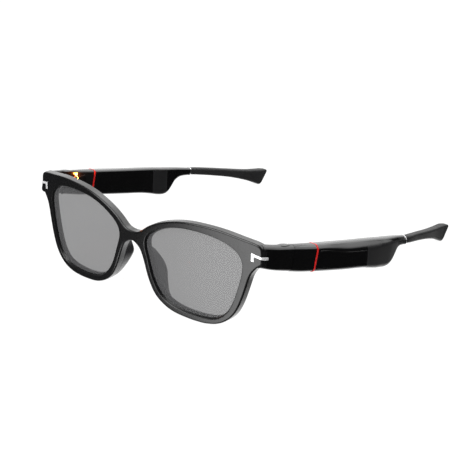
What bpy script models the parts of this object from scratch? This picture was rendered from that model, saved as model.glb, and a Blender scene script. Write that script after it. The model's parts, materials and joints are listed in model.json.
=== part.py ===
"""Smart glasses: a full rim front and two folding arms with plug-in electronics temples.

World axes: +X is the wearer's left, +Y runs from the front to the temple tips, +Z is up.
The origin is the middle of the bottom of the object's box. Lengths are in millimetres until
MM turns them into metres. A temple is drawn in its own frame: X across it from the hinge
pin outwards, Y along it from the hinge, Z across it upwards.
"""

import math

import bmesh
import bpy
from mathutils import Matrix, Vector

MM = 0.001

# ---- driving dimensions, mm ----------------------------------------------------------
LENGTH = 177.7            # bridge to temple tips
GAP = 0.3                 # between neighbouring solids
RIM_DEPTH = 4.4           # front to back of the rim
WRAP = 0.00177            # bend of the front, y = WRAP * x * x
LENS_THICKNESS = 2.0
LENS_SET_BACK = 1.3       # lens face behind the rim face
GROOVE_DEPTH = 1.0        # how far the lens edge enters the rim

PIN_X = 69.5              # hinge pin from the middle plane
PIN_Y = 29.5              # hinge pin behind the bridge
AXIS_Z = 35.0             # temple axis height at the pin
SLOPE = math.radians(12.8)  # temples fall towards the ears
PIN_RADIUS = 0.5
KNUCKLE_RADIUS = 1.4
KNUCKLE_TOP = 37.6
KNUCKLE_BOTTOM = 31.0

STUB_END = 14.6           # along the temple, from the pin
RING_WIDTH = 1.2
MODULE_START = 16.4
SPLIT_X = 5.7             # shell and cover meet here, outwards from the pin
PANEL_DEPTH = 0.8
CORE_RADIUS = 0.8

# Half of the front's outline, on the front face, from the top of the bridge round the end.
OUTLINE = [
    (0, 35.7), (4.5, 36.5), (9, 40.0), (15.2, 43.6), (23.7, 46.7), (32.6, 48.5), (42.1, 49.0),
    (52.2, 48.7), (62.9, 47.2), (69.5, 46.2), (72.1, 45.1), (73.1, 43.2), (73.3, 37.6),
    (72.9, 36.1), (70.8, 34.5), (67.6, 30.2), (65.5, 23.0), (62.6, 13.9), (58.7, 6.9),
    (52.5, 2.1), (45.5, 0.25), (40.3, 0.0), (34.8, 0.2), (24.5, 1.6), (15.8, 6.4), (10.9, 13.8),
    (7.7, 22.5), (5.4, 27.5), (2.6, 29.9), (0, 30.8),
]
OPENING = [
    (8.4, 31.4), (10.2, 36.4), (15.7, 40.4), (24.3, 43.9), (35.0, 45.4), (48.1, 44.8),
    (58.2, 41.8), (63.3, 36.2), (62.9, 27.5), (59.1, 14.1), (54.9, 7.1), (48.8, 3.6),
    (38.7, 2.8), (27.5, 3.9), (19.2, 7.6), (13.7, 14.9), (10.4, 24.3),
]

# Temple sections: along, inner side, outer side, bottom, top (from the pin axis).
ARM_SECTIONS = [(-20.0, -0.2, 3.9, -2.9, 6.4), (-12.0, 2.0, 5.4, -4.2, 6.2), (-0.2, 2.1, 6.4, -5.8, 6.0)]
STUB_SECTIONS = [(0.2, 2.1, 6.4, -6.2, 6.0), (7.0, 2.2, 7.3, -6.8, 5.9), (14.6, 2.3, 8.2, -7.2, 5.8)]
MODULE_SECTIONS = [
    (16.4, 2.3, 8.3, -7.3, 5.8), (28.0, 2.5, 8.8, -7.7, 5.8), (42.0, 2.8, 9.3, -7.9, 5.8),
    (55.0, 2.9, 9.5, -8.1, 5.9), (64.0, 2.9, 9.4, -8.7, 5.9), (72.0, 2.8, 9.0, -9.3, 5.8),
    (78.0, 2.7, 8.6, -9.1, 5.8), (81.3, 2.7, 8.2, -7.6, 5.8), (83.5, 2.7, 7.9, -4.6, 5.8),
    (85.4, 2.7, 7.6, -1.5, 5.8), (88.0, 2.7, 7.4, 0.7, 5.7), (93.6, 2.7, 7.2, 1.4, 5.5),
]
TIP_SECTIONS = [
    (93.9, 2.9, 7.0, 1.6, 5.3), (99.5, 2.0, 6.4, 1.6, 5.5), (111.0, -0.3, 4.0, 1.4, 5.6),
    (124.0, -3.1, 1.4, 0.8, 5.5), (136.0, -6.0, -1.3, -0.7, 5.6), (145.5, -7.8, -2.8, -2.8, 6.3),
    (150.6, -7.4, -3.4, 4.2, 6.1),
]
LEAD = 4.5                # the bulge ends this much sooner on its inner side

scene_collection = bpy.context.scene.collection
SIDES = {"left": 1, "right": -1}


# ---- helpers -------------------------------------------------------------------------
def clear_scene():
    for item in list(bpy.data.objects):
        bpy.data.objects.remove(item, do_unlink=True)


def new_collection(name):
    group = bpy.data.collections.new(name)
    scene_collection.children.link(group)
    return group


def finish_material(name, colour, roughness, metallic=0.0):
    material = bpy.data.materials.new(name)
    material.use_nodes = True
    shader = material.node_tree.nodes["Principled BSDF"]
    shader.inputs["Base Color"].default_value = (*colour, 1.0)
    shader.inputs["Roughness"].default_value = roughness
    shader.inputs["Metallic"].default_value = metallic
    material.diffuse_color = (*colour, 1.0)
    return material


def wrap(x):
    """How far the front's face lies behind the bridge at x."""
    return WRAP * x * x


def smooth_points(points, steps, closed):
    """A Catmull-Rom curve through the points, with a number of steps between each two."""
    count = len(points)
    result = []
    for index in range(count if closed else count - 1):
        near = []
        for offset in (-1, 0, 1, 2):
            place = index + offset
            place = place % count if closed else min(max(place, 0), count - 1)
            near.append(Vector(points[place]))
        before, start, end, after = near
        for step in range(steps):
            t = step / steps
            result.append(
                0.5 * (2 * start + (end - before) * t
                       + (2 * before - 5 * start + 4 * end - after) * t * t
                       + (3 * start - before - 3 * end + after) * t * t * t)
            )
    if not closed:
        result.append(Vector(points[-1]))
    return result


def grown_loop(points, distance):
    """A closed clockwise or anticlockwise loop moved outwards by a distance."""
    count = len(points)
    area = sum(points[i].cross(points[(i + 1) % count]) for i in range(count))
    sign = 1 if area > 0 else -1
    grown = []
    for index, point in enumerate(points):
        along = (points[(index + 1) % count] - points[index - 1]).normalized()
        grown.append(point + Vector((along.y, -along.x)) * sign * distance)
    return grown


def add_object(name, mesh, parent, material=None, cutter=False):
    item = bpy.data.objects.new(name, mesh)
    if cutter:
        cutters.objects.link(item)
        item.hide_render = True
        item.display_type = "WIRE"
    else:
        glasses.objects.link(item)
        mesh.materials.append(material)
    item.parent = parent
    return item


def mesh_from(shape, name):
    """Turn a bmesh in millimetres into a mesh in metres with outward faces."""
    bmesh.ops.recalc_face_normals(shape, faces=shape.faces)
    bmesh.ops.scale(shape, vec=Vector((MM, MM, MM)), verts=shape.verts)
    mesh = bpy.data.meshes.new(name)
    shape.to_mesh(mesh)
    shape.free()
    return mesh


def lofted(rings):
    """A closed body through rings with the same number of points."""
    shape = bmesh.new()
    loops = [[shape.verts.new(point) for point in ring] for ring in rings]
    count = len(loops[0])
    for low, high in zip(loops, loops[1:]):
        for i in range(count):
            j = (i + 1) % count
            shape.faces.new((low[i], low[j], high[j], high[i]))
    shape.faces.new(list(reversed(loops[0])))
    shape.faces.new(loops[-1])
    return shape


def rounded_ring(along, section, radius, side, steps=2):
    """A rounded rectangle across the temple: section is inner, outer, bottom, top."""
    inner, outer, bottom, top = section
    radius = min(radius, (outer - inner) * 0.45, (top - bottom) * 0.45)
    corners = [
        (outer - radius, top - radius, 0), (inner + radius, top - radius, 90),
        (inner + radius, bottom + radius, 180), (outer - radius, bottom + radius, 270),
    ]
    ring = []
    for x, z, start in corners:
        for step in range(steps + 1):
            angle = math.radians(start + 90 * step / steps)
            point_x = x + radius * math.cos(angle)
            ring.append(Vector((side * point_x, along, z + radius * math.sin(angle))))
    return ring


def section_at(sections, along):
    """The section between two of the list's, by a straight rule."""
    for low, high in zip(sections, sections[1:]):
        if low[0] <= along <= high[0]:
            part = (along - low[0]) / (high[0] - low[0])
            return [a + (b - a) * part for a, b in zip(low[1:], high[1:])]
    return list(sections[-1][1:])


def smooth_step(value):
    value = min(max(value, 0.0), 1.0)
    return value * value * (3 - 2 * value)


def temple_body(sections, side, radius):
    """A body through rounded sections, with its inner side cut short behind the bulge."""
    rings = []
    for along, inner, outer, bottom, top in sections:
        ring = rounded_ring(along, (inner, outer, bottom, top), radius, side)
        lead = LEAD * smooth_step((along - 60) / 18) * smooth_step((92.5 - along) / 8)
        for point in ring:
            point.y -= lead * (outer - abs(point.x)) / (outer - inner) if lead else 0.0
        rings.append(ring)
    return lofted(rings)


def block(side, inner, outer, start, end, bottom, top):
    """A box in a temple's frame."""
    shape = bmesh.new()
    size = Vector((outer - inner, end - start, top - bottom))
    middle = Vector((side * (inner + outer) / 2, (start + end) / 2, (bottom + top) / 2))
    place = Matrix.Translation(middle) @ Matrix.Diagonal((*size, 1.0))
    bmesh.ops.create_cube(shape, size=1.0, matrix=place)
    return shape


def upright_cylinder(x, y, bottom, top, radius, segments=16):
    shape = bmesh.new()
    middle = Matrix.Translation(Vector((x, y, (bottom + top) / 2)))
    bmesh.ops.create_cone(
        shape, cap_ends=True, segments=segments, radius1=radius, radius2=radius,
        depth=top - bottom, matrix=middle,
    )
    return shape


def boolean(target, tool, operation="DIFFERENCE"):
    modifier = target.modifiers.new(tool.name, "BOOLEAN")
    modifier.operation = operation
    modifier.solver = "EXACT"
    modifier.object = tool


def cut_with(target, shape, name):
    boolean(target, add_object(name, mesh_from(shape, name), target.parent, cutter=True))


def join_with(target, shape, name):
    boolean(target, add_object(name, mesh_from(shape, name), target.parent, cutter=True), "UNION")


def bevel(item, width, segments=1, angle=40):
    modifier = item.modifiers.new("edges", "BEVEL")
    modifier.width = width * MM
    modifier.segments = segments
    modifier.limit_method = "ANGLE"
    modifier.angle_limit = math.radians(angle)


def wrapped_plate(loops, depth, behind):
    """A flat outline with holes, stood up, given a depth and bent to the front's wrap."""
    curve = bpy.data.curves.new("outline", "CURVE")
    curve.dimensions = "2D"
    curve.fill_mode = "BOTH"
    curve.extrude = depth / 2
    for loop in loops:
        spline = curve.splines.new("POLY")
        spline.points.add(len(loop) - 1)
        spline.use_cyclic_u = True
        for point, place in zip(spline.points, loop):
            point.co = (place[0], place[1], 0, 1)
    drawn = bpy.data.objects.new("outline", curve)
    scene_collection.objects.link(drawn)
    evaluated = drawn.evaluated_get(bpy.context.evaluated_depsgraph_get())
    flat = bpy.data.meshes.new_from_object(evaluated)
    bpy.data.objects.remove(drawn, do_unlink=True)
    shape = bmesh.new()
    shape.from_mesh(flat)
    bmesh.ops.remove_doubles(shape, verts=shape.verts, dist=0.001)
    for strip in range(-8, 9):
        geometry = shape.verts[:] + shape.edges[:] + shape.faces[:]
        bmesh.ops.bisect_plane(
            shape, geom=geometry, dist=0.0001, plane_co=(strip * 9.0, 0, 0), plane_no=(1, 0, 0),
        )
    for vert in shape.verts:
        x, height, across = vert.co
        vert.co = Vector((x, wrap(x) + behind + depth / 2 - across, height))
    return shape


# ---- the front -----------------------------------------------------------------------
def opening_loop(side, grow=0.0):
    loop = smooth_points([Vector(point) for point in OPENING], 3, True)
    return [Vector((side * point.x, point.y)) for point in grown_loop(loop, grow)]


def front_outline():
    half = smooth_points([Vector(point) for point in OUTLINE], 2, False)
    other = [Vector((-point.x, point.y)) for point in reversed(half[1:-1])]
    return half + other


def to_world(side, shape):
    """Move a shape from a temple's frame to the front's frame."""
    turn = Matrix.Rotation(-SLOPE, 4, "X")
    move = Matrix.Translation(Vector((side * PIN_X, PIN_Y, AXIS_Z)))
    bmesh.ops.transform(shape, matrix=move @ turn, verts=shape.verts)
    return shape


def build_front_frame(parent):
    shape = wrapped_plate([front_outline(), opening_loop(1), opening_loop(-1)], RIM_DEPTH, 0)
    frame = add_object("front_frame", mesh_from(shape, "front_frame"), parent, gloss_black)
    for name, side in SIDES.items():
        arm = to_world(side, temple_body(ARM_SECTIONS, side, 1.0))
        join_with(frame, arm, name + "_arm_joined")
        boss = to_world(side, block(side, 2.2, 4.4, -7.6, -2.2, 4.5, 6.5))
        join_with(frame, boss, name + "_hinge_boss")
    for name, side in SIDES.items():
        groove = wrapped_plate(
            [opening_loop(side, GROOVE_DEPTH + GAP)], LENS_THICKNESS + 2 * GAP, LENS_SET_BACK - GAP
        )
        cut_with(frame, groove, name + "_lens_groove")
        cut_with(frame, trim_band(side, GAP), name + "_trim_recess")
        cut_with(frame, trim_leg(side, GAP), name + "_trim_leg_recess")
    return frame


def build_lens(name, side, parent):
    shape = wrapped_plate([opening_loop(side, GROOVE_DEPTH)], LENS_THICKNESS, LENS_SET_BACK)
    return add_object(name, mesh_from(shape, name), parent, tinted)


def trim_band(side, grow):
    """The trim's long arm: along the face, round the corner and back along the side."""
    path = [
        (68.1, 8.35, 40.3),
        (71.0, 9.05, 39.9),
        (72.9, 9.6, 39.5),
        (73.75, 10.9, 39.3),
        (74.1, 13.0, 39.2),
    ]
    outward = [(0.25, -0.97), (0.26, -0.97), (0.5, -0.87), (0.87, -0.5), (1, -0.08)]
    rings = []
    last = len(path) - 1
    for index, ((x, y, z), (out_x, out_y)) in enumerate(zip(path, outward)):
        stretch = (index == last) - (index == 0)
        base = Vector((x, y, z)) + Vector((-out_y, out_x, 0)) * stretch * grow
        out = Vector((out_x, out_y, 0)).normalized()
        half = Vector((0, 0, 0.65 + grow))
        deep = base - out * (0.7 + grow)
        face = base + out * (0.25 + grow)
        rings.append([deep - half, face - half, face + half, deep + half])
    if side < 0:
        rings = [[Vector((-p.x, p.y, p.z)) for p in ring] for ring in rings]
    return lofted(rings)


def trim_leg(side, grow):
    """The trim's short upright leg on the face."""
    shape = bmesh.new()
    size = Vector((1.4 + 2 * grow, 1.0 + 2 * grow, 3.9 + 2 * grow))
    middle = Vector((side * 68.7, 8.5, 39.0))
    turn = Matrix.Rotation(side * 0.24, 4, "Z")
    matrix = Matrix.Translation(middle) @ turn @ Matrix.Diagonal((*size, 1.0))
    bmesh.ops.create_cube(shape, size=1.0, matrix=matrix)
    return shape


def build_trim(name, side, parent):
    trim = add_object(name, mesh_from(trim_leg(side, 0), name), parent, bright_metal)
    join_with(trim, trim_band(side, 0), name + "_band")
    return trim


def build_nose_pad(name, side, parent):
    """A moulded pad behind the rim beside the bridge, wider towards the face."""
    levels = [
        (3.4, (20.6, 24.2), (21.2, 24.0), 6.4), (7.0, (15.4, 18.6), (15.8, 19.0), 7.8),
        (12.0, (12.0, 15.2), (12.0, 16.4), 9.2),
        (17.0, (9.8, 13.0), (8.8, 15.4), 9.8), (21.0, (8.2, 11.6), (6.9, 13.4), 9.8),
        (25.0, (6.8, 10.0), (6.5, 10.9), 8.4), (28.5, (5.6, 8.8), (6.0, 8.6), 6.4),
    ]
    rings = []
    for z, (front_in, front_out), (back_in, back_out), back in levels:
        front = RIM_DEPTH + GAP + wrap(front_out)
        ring = [
            (front_in, front, z), (front_out, front, z), (back_out, back - 0.8, z),
            (back_out - 0.9, back, z), (back_in + 0.9, back, z), (back_in, back - 0.8, z),
        ]
        rings.append([Vector((side * x, y, height)) for x, y, height in ring])
    pad = add_object(name, mesh_from(lofted(rings), name), parent, pad_plastic)
    bevel(pad, 0.35, angle=50)
    return pad


# ---- hinges --------------------------------------------------------------------------
def hinge_leaf(side, knuckles, start, end, bottom, top):
    """A leaf plate on the arm's inner face, with its knuckles on the pin's line."""
    plate = block(side, 0.9, 1.7, start, end, bottom, top)
    parts = [plate]
    for low, high in knuckles:
        parts.append(upright_cylinder(0, 0, low, high, KNUCKLE_RADIUS))
        arm = (-3.0, 0.0) if start < 0 else (0.0, 3.0)
        parts.append(block(side, 0.6, 1.65, *arm, low + 0.05, high - 0.05))
    return parts


def build_leaf(name, side, parent, knuckles, start, end, bottom, top):
    parts = hinge_leaf(side, knuckles, start, end, bottom, top)
    leaf = add_object(name, mesh_from(parts[0], name), parent, hinge_steel)
    for number, shape in enumerate(parts[1:]):
        join_with(leaf, shape, f"{name}_part_{number}")
    bore = upright_cylinder(0, 0, -20, 20, PIN_RADIUS + GAP, 12)
    cut_with(leaf, bore, name + "_bore")
    return leaf


def build_hinge(word, side, pin):
    """Three knuckles: two on the front's leaf and one on the arm's, with a screw as the pin."""
    low, high = KNUCKLE_BOTTOM - AXIS_Z, KNUCKLE_TOP - AXIS_Z
    third = (high - low) / 3
    front_knuckles = [(low, low + third - GAP / 2), (high - third + GAP / 2, high)]
    rear_knuckles = [(low + third + GAP / 2, high - third - GAP / 2)]
    build_leaf(word + "_front_leaf", side, pin, front_knuckles, -9.0, -2.2, low - 0.1, high + 0.1)
    build_leaf(word + "_rear_leaf", side, pin, rear_knuckles, 2.2, 8.0, -3.4, 2.2)
    name = word + "_hinge_screw"
    screw = add_object(
        name, mesh_from(upright_cylinder(0, 0, low - 0.3, high + 0.6, PIN_RADIUS), name),
        pin, bright_metal,
    )
    join_with(screw, upright_cylinder(0, 0, high + GAP, high + 0.9, 1.1), name + "_head")


# ---- stub between the hinge and the seal ring ------------------------------------------
def half_space(side, outer_half):
    """A large box on one side of the joint between shell and cover."""
    edge = SPLIT_X + GAP / 2 if outer_half else SPLIT_X - GAP / 2
    if outer_half:
        return block(side, edge - 40, edge, -60, 160, -40, 40)
    return block(side, edge, edge + 40, -60, 160, -40, 40)


def build_half(name, side, parent, sections, cavity, outer_half, material):
    """Half of a hollow temple part: the body, less the far side and the room inside."""
    half = add_object(name, mesh_from(temple_body(sections, side, 1.5), name), parent, material)
    cut_with(half, half_space(side, outer_half), name + "_far_side")
    cut_with(half, temple_body(cavity, side, 0.8), name + "_room")
    return half


def plug_sections(start, end, grow):
    return [(start, 4.2 - grow, 6.1 + grow, -2.6 - grow, 2.6 + grow),
            (end, 4.2 - grow, 6.1 + grow, -2.6 - grow, 2.6 + grow)]


def build_stub(word, side, pin):
    cavity = [
        (2.2, 3.2, 5.5, -4.0, 4.5),
        (8.0, 3.3, 6.3, -5.2, 4.5),
        (14.0, 3.4, 6.9, -5.4, 4.4),
        (15.5, 3.4, 6.9, -5.4, 4.4),
    ]
    build_half(word + "_stub_shell", side, pin, STUB_SECTIONS, cavity, True, gloss_black)
    cover = build_half(word + "_stub_cover", side, pin, STUB_SECTIONS, cavity, False, soft_black)
    name = word + "_contact_plug"
    shape = temple_body(plug_sections(9.0, 22.0, 0), side, 0.6)
    plug = add_object(name, mesh_from(shape, name), pin, contact_gold)
    bevel(plug, 0.2)
    name = word + "_microphone"
    add_object(name, mesh_from(block(side, 3.6, 4.8, 3.6, 6.6, -3.2, -1.0), name), pin, board_green)
    return cover


def build_seal_ring(word, side, pin):
    end = STUB_END + GAP
    inner, outer, bottom, top = section_at(MODULE_SECTIONS, MODULE_START)
    sections = [(end, inner - 0.1, outer + 0.15, bottom - 0.15, top + 0.15),
                (end + RING_WIDTH, inner - 0.1, outer + 0.15, bottom - 0.15, top + 0.15)]
    name = word + "_seal_ring"
    ring = add_object(name, mesh_from(temple_body(sections, side, 1.6), name), pin, red_rubber)
    cut_with(ring, temple_body(plug_sections(end - 2, end + 4, GAP), side, 0.6), name + "_hole")


def build_status_light(side, pin, cover):
    """An amber window in the stub's inner face, with its board behind it."""
    start, end, bottom, top = 0.9, 2.3, 3.4, 4.8
    hole = block(side, 1.0, 4.5, start - GAP, end + GAP, bottom - GAP, top + GAP)
    cut_with(cover, hole, "light_hole")
    name = "status_light"
    light = add_object(name, mesh_from(block(side, 2.0, 3.2, start, end, bottom, top), name), pin, amber)
    bevel(light, 0.2)
    name = "light_board"
    add_object(name, mesh_from(block(side, 3.6, 4.2, 2.6, 7.4, 0.0, 4.0), name), pin, board_green)


# ---- electronics module ----------------------------------------------------------------
def module_cavity():
    return [
        (15.0, 3.2, 7.2, -4.0, 4.0), (18.5, 3.2, 7.3, -5.2, 4.4), (28.0, 3.2, 7.2, -6.2, 4.6),
        (30.0, 3.7, 6.9, -6.4, 4.6),
        (58.0, 4.1, 7.2, -6.8, 4.7), (66.0, 4.1, 7.8, -7.5, 4.7), (75.0, 4.0, 7.3, -7.9, 4.6),
        (78.5, 3.9, 6.8, -6.0, 4.5),
    ]


def panel_solid(side, grow):
    """The plate let into the shell's outer face: between two lines that leave a rim."""
    rings = []
    for along in (18.0, 28.0, 42.0, 55.0):
        outer = section_at(MODULE_SECTIONS, along)[1]
        start = along - grow if along < 20 else along + grow if along > 50 else along
        section = (outer - PANEL_DEPTH - grow, outer + 0.05 + grow, -5.6 - grow, 3.6 + grow)
        rings.append(rounded_ring(start, section, 0.3, side, 1))
    return lofted(rings)


def build_module(word, side, slide):
    cavity = module_cavity()
    shell = build_half(word + "_module_shell", side, slide, MODULE_SECTIONS, cavity, True, satin_black)
    cover = build_half(word + "_module_cover", side, slide, MODULE_SECTIONS, cavity, False, gloss_black)
    cut_with(shell, panel_solid(side, GAP), word + "_panel_recess")
    name = word + "_touch_panel"
    add_object(name, mesh_from(panel_solid(side, 0), name), slide, gloss_black)
    bore = core_path(side, CORE_RADIUS + GAP, 74.0, 97.0)
    cut_with(cover, bore, word + "_core_bore")
    cut_with(shell, block(side, 6.3, 8.0, 64.0, 72.0, -12, -6), word + "_grille_hole")
    name = word + "_speaker_grille"
    plate = block(side, 6.3 + GAP, 8.0 - GAP, 64.3, 71.7, -8.6, -7.9)
    add_object(name, mesh_from(plate, name), slide, steel_mesh)
    return shell, cover


def build_electronics(word, side, slide):
    """What fills the module: socket, board, cell and speaker."""
    pieces = [
        ("_socket", (3.0 + 0.45, 6.95, 19.4, 25.6, -3.4, 3.4), dark_plastic),
        ("_main_board", (4.4, 5.2, 30.5, 57.0, -5.6, 4.0), board_green),
        ("_battery", (5.5, 6.6, 31.0, 56.5, -5.4, 3.8), cell_foil),
        ("_speaker", (4.6, 6.9, 60.5, 73.5, -5.9, -0.4), dark_plastic),
    ]
    for ending, (inner, outer, start, end, bottom, top), material in pieces:
        name = word + ending
        shape = block(side, inner, outer, start, end, bottom, top)
        item = add_object(name, mesh_from(shape, name), slide, material)
        if ending == "_socket":
            cut_with(item, temple_body(plug_sections(10.0, 23.6, GAP), side, 0.6), name + "_pocket")


def core_path(side, radius, start, end):
    """A round wire along the middle of the tip's sections."""
    stations = [start] + [s[0] for s in TIP_SECTIONS if start < s[0] < end] + [end]
    rings = []
    for along in stations:
        if along < TIP_SECTIONS[0][0]:
            x, z = 4.6, 3.5
        else:
            inner, outer, bottom, top = section_at(TIP_SECTIONS, along)
            x, z = (inner + outer) / 2, (bottom + top) / 2
        rings.append([
            Vector((side * (x + radius * math.cos(math.radians(angle))), along,
                    z + radius * math.sin(math.radians(angle))))
            for angle in range(0, 360, 45)
        ])
    return lofted(rings)


def build_tip(word, side, slide):
    name = word + "_temple_tip"
    tip = add_object(name, mesh_from(temple_body(TIP_SECTIONS, side, 1.3), name), slide, grip_rubber)
    cut_with(tip, core_path(side, CORE_RADIUS + GAP, 91.0, 141.0), name + "_core_bore")
    name = word + "_tip_core"
    add_object(name, mesh_from(core_path(side, CORE_RADIUS, 82.5, 140.0), name), slide, bright_metal)


def build_button(side, slide, shell):
    """A key in the underside of the module."""
    cut_with(shell, block(side, 6.2, 8.2, 43.0, 51.0, -12, -6), "button_hole")
    name = "function_button"
    shape = block(side, 6.2 + GAP, 8.2 - GAP, 43.3, 50.7, -8.3, -7.0)
    key = add_object(name, mesh_from(shape, name), slide, grip_rubber)
    bevel(key, 0.25)


def new_empty(name, parent, place, turn=(0.0, 0.0, 0.0)):
    empty = bpy.data.objects.new(name, None)
    cutters.objects.link(empty)
    empty.parent = parent
    empty.location = Vector(place) * MM
    empty.rotation_euler = turn
    return empty


# ---- assembly --------------------------------------------------------------------------
clear_scene()
glasses = new_collection("smart_glasses")
cutters = new_collection("cutters_and_guides")

gloss_black = finish_material("gloss_black", (0.012, 0.012, 0.013), 0.12)
satin_black = finish_material("satin_black", (0.022, 0.022, 0.023), 0.4)
soft_black = finish_material("soft_black", (0.015, 0.015, 0.016), 0.3)
tinted = finish_material("tinted_lens", (0.25, 0.25, 0.26), 0.05)
bright_metal = finish_material("bright_metal", (0.8, 0.8, 0.8), 0.2, 1.0)
hinge_steel = finish_material("hinge_steel", (0.35, 0.35, 0.36), 0.3, 1.0)
red_rubber = finish_material("red_rubber", (0.5, 0.0, 0.0), 0.45)
grip_rubber = finish_material("grip_rubber", (0.03, 0.03, 0.03), 0.6)
pad_plastic = finish_material("pad_plastic", (0.03, 0.03, 0.03), 0.35)
amber = finish_material("amber", (1.0, 0.3, 0.05), 0.2)
contact_gold = finish_material("contact_gold", (0.7, 0.5, 0.2), 0.3, 1.0)
board_green = finish_material("board_green", (0.02, 0.15, 0.06), 0.5)
cell_foil = finish_material("cell_foil", (0.5, 0.5, 0.52), 0.3, 0.6)
dark_plastic = finish_material("dark_plastic", (0.03, 0.03, 0.03), 0.5)
steel_mesh = finish_material("steel_mesh", (0.2, 0.2, 0.2), 0.4, 1.0)

front = new_empty("front_origin", None, (0, -LENGTH / 2, 0))
build_front_frame(front)
for word, side in SIDES.items():
    build_lens(word + "_lens", side, front)
    build_nose_pad(word + "_nose_pad", side, front)
    build_trim(word + "_corner_trim", side, front)
    pin = new_empty(word + "_hinge_pin", front, (side * PIN_X, PIN_Y, AXIS_Z))
    temple = new_empty(word + "_temple_axis", pin, (0, 0, 0), (-SLOPE, 0, 0))
    build_hinge(word, side, pin)
    stub_cover = build_stub(word, side, temple)
    build_seal_ring(word, side, temple)
    module_shell, module_cover = build_module(word, side, temple)
    build_electronics(word, side, temple)
    build_tip(word, side, temple)
    if word == "right":
        build_status_light(side, temple, stub_cover)
        build_button(side, temple, module_shell)
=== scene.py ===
"""Looks of a pair of smart glasses with plug-in electronics temples.

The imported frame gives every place: the front's box, the hinge pins and the temples' slope.
Shapes are drawn in millimetres, in two drawing frames, and become metres at the end:

* the front frame: X across, Y back from the bridge, Z up from the lowest point of the rims;
* a temple's frame: X out from the hinge pin, Y along the temple, Z across it upwards.
"""

from __future__ import annotations

import json
import logging
import math
from dataclasses import dataclass
from enum import Enum
from typing import Iterable, Sequence

import bmesh
import bpy
from mathutils import Matrix, Vector

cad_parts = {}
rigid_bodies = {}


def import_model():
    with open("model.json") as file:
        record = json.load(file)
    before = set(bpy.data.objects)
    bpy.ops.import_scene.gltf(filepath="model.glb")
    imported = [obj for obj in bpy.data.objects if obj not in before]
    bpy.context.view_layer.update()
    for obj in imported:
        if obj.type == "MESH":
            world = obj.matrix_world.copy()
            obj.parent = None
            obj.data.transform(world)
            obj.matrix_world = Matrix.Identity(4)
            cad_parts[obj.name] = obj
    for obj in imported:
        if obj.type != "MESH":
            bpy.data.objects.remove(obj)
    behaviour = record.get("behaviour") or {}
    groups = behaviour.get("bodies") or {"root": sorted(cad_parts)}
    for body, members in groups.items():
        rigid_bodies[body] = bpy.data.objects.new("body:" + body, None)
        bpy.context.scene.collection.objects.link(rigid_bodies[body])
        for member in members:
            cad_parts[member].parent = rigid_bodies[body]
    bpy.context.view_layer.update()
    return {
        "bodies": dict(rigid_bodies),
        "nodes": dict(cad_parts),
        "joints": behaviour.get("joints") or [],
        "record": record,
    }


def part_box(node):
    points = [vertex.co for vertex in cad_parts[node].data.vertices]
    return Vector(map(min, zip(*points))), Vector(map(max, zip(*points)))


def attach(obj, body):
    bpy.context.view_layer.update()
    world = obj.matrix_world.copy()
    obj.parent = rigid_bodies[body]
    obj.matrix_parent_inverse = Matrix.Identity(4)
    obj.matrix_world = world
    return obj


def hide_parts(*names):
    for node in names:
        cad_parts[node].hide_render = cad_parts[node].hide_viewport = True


LOG = logging.getLogger("smart_glasses")
MM = 0.001

Shape = bmesh.types.BMesh
Piece = bpy.types.Object
Node = bpy.types.Node
Socket = bpy.types.NodeSocket
Point2 = tuple[float, float]
Point3 = tuple[float, float, float]
Section = tuple[float, float, float, float, float]  # along, inner, outer, bottom, top
# Degrees from +X towards +Y, degrees above the horizon, degrees from the middle to where the patch
# has faded out, how much of that is fully bright, and how bright.
Patch = tuple[float, float, float, float, float]


class Side(Enum):
    """The wearer's two sides, with the sign of X on each."""

    LEFT = 1
    RIGHT = -1

    @property
    def word(self) -> str:
        """The side's name as nodes and bodies use it."""
        return self.name.lower()


class Grain(Enum):
    """The fine surface that a finish is moulded, drawn or cast with."""

    POLISHED = "polished"
    SPARK = "spark"
    BRUSHED = "brushed"
    SOFT = "soft"
    BOARD = "board"


class Join(Enum):
    """What a tool shape does to a piece."""

    ADD = "UNION"
    TAKE = "DIFFERENCE"


# ---- materials -------------------------------------------------------------------------
@dataclass(frozen=True)
class NodeBench:
    """A node tree, with short ways to add and join its nodes."""

    tree: bpy.types.NodeTree

    def add(self, kind: str, **values: object) -> Node:
        """Add a node.

        Args:
            kind: the node's type.
            values: what its sockets are set to, by name with _ for a space.

        Returns:
            The node.
        """
        node = self.tree.nodes.new(kind)
        for name, value in values.items():
            node.inputs[name.replace("_", " ")].default_value = value
        return node

    def join(self, source: Socket, target: Socket) -> None:
        """Link two sockets."""
        self.tree.links.new(source, target)


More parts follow.
